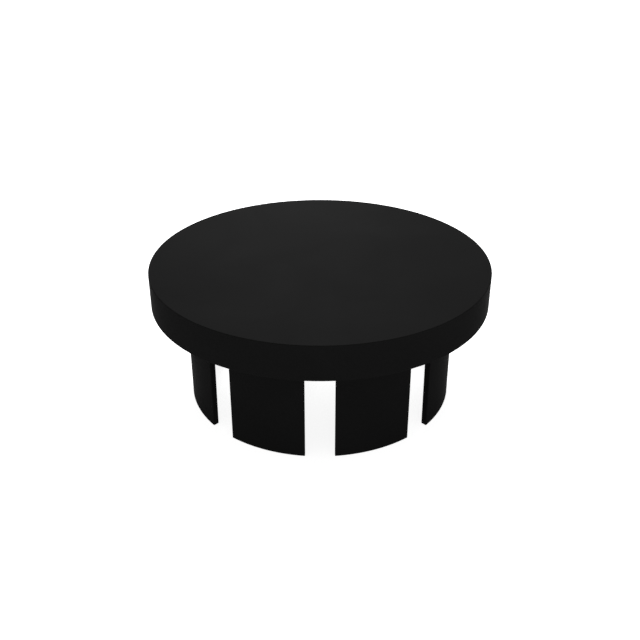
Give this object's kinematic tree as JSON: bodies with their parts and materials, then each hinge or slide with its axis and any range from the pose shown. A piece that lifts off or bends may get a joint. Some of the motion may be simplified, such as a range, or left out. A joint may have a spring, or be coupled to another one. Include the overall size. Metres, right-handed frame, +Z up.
{
  "type": "plastic hole plug",
  "caption": "Flat round plug that covers a round hole in a panel, moulded in one piece with a slotted press-in skirt of spring fingers.",
  "frame": {"origin": "on the plug's axis, in the seat plane: the plane of the rim's lower edge, which rests on the panel", "axes": "+Z up along the plug's axis, from the finger tips to the flat top; one slot of the skirt is centred on -Y and the next ones follow at equal angles"},
  "size_m": [0.064, 0.064, 0.0266],
  "materials": {
    "black_plastic": "fine moulded satin, black"
  },
  "bodies": {
    "root": {"hole_plug": "black_plastic"}
  },
  "joints": []
}
